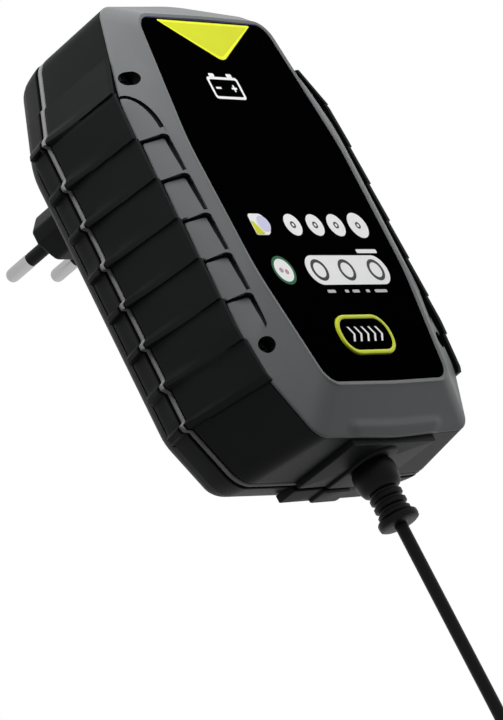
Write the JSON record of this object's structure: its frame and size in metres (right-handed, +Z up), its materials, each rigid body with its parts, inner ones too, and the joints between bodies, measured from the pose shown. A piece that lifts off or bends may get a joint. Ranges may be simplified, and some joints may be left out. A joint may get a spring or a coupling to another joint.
{
  "type": "car battery charger",
  "caption": "Plug-in car battery charger: stepped-side case with a sloping face, two-pin mains plug on its back, mode button, status lights and a coiled output lead",
  "frame": {"origin": "centre of the mains plug's face, midway between its two pins", "axes": "+X right seen from the front, +Y out of the plug into the socket, +Z up along the case, away from the output lead"},
  "size_m": [0.1054, 0.0869, 0.3052],
  "materials": {
    "grey_cover": "satin",
    "black_shell": "matt",
    "gloss_black": "gloss",
    "seal_grey": "matt",
    "clear_plastic": "gloss",
    "ring_yellow": "satin",
    "led_lens": "gloss",
    "board_green": "satin",
    "part_black": "matt",
    "part_white": "satin",
    "part_blue": "satin",
    "part_yellow": "satin",
    "ferrite": "matt",
    "bobbin_tan": "matt",
    "copper_tape": "satin",
    "alu": "satin",
    "pin_metal": "satin",
    "screw_steel": "satin",
    "lead_brown": "satin",
    "lead_blue": "satin",
    "lead_red": "satin",
    "cord_black": "satin",
    "contact_brass": "satin",
    "plate_grey": "matt"
  },
  "bodies": {
    "case": {"front_cover": "grey_cover", "fascia_panel": "gloss_black", "light_guides": "clear_plastic", "switch_body": "part_black", "status_leds": "led_lens", "control_board": "board_green", "control_chip": "part_black", "control_screws": "screw_steel", "board_link": "part_black", "mid_shell": "black_shell", "seam_gasket": "seal_grey", "rear_cover": "black_shell", "rating_plate": "plate_grey", "plug_insert": "black_shell", "plug_pin_left": "pin_metal", "plug_pin_right": "pin_metal", "pin_sleeve_left": "part_black", "pin_sleeve_right": "part_black", "mains_lead_left": "lead_brown", "mains_lead_right": "lead_blue", "main_board": "board_green", "main_screws": "screw_steel", "fuse": "clear_plastic", "varistor": "part_blue", "emi_choke": "ferrite", "suppressor_cap": "part_yellow", "bridge_rectifier": "part_black", "bulk_capacitor": "part_black", "transformer_core": "ferrite", "transformer_bobbin": "bobbin_tan", "transformer_winding": "copper_tape", "power_transistor": "part_black", "output_diode": "part_black", "heatsink": "alu", "optocoupler": "part_black", "output_relay": "part_white", "output_capacitors": "part_blue", "case_screws": "screw_steel", "cord_clamp": "part_black", "clamp_screws": "screw_steel", "cord_tail": "cord_black", "output_leads": "lead_red", "strain_relief": "cord_black", "output_cord": "cord_black", "cord_coil": "cord_black", "coil_tie": "part_black", "connector_body": "part_black", "connector_contacts": "contact_brass"},
    "button": {"mode_button": "gloss_black", "button_ring": "ring_yellow"},
    "plunger": {"switch_plunger": "part_white"}
  },
  "joints": [
    {"name": "mode_press", "type": "slide", "parent": "case", "child": "button", "axis": [0, 1, 0], "range_m": [0, 0.0006], "stiffness_N_per_m": 2000},
    {"name": "switch_press", "type": "slide", "parent": "case", "child": "plunger", "axis": [0, 1, 0], "range_m": [0, 0.0006], "stiffness_N_per_m": 4}
  ],
  "couplings": [
    {"joint": "switch_press", "follows": "mode_press", "ratio": 1}
  ]
}
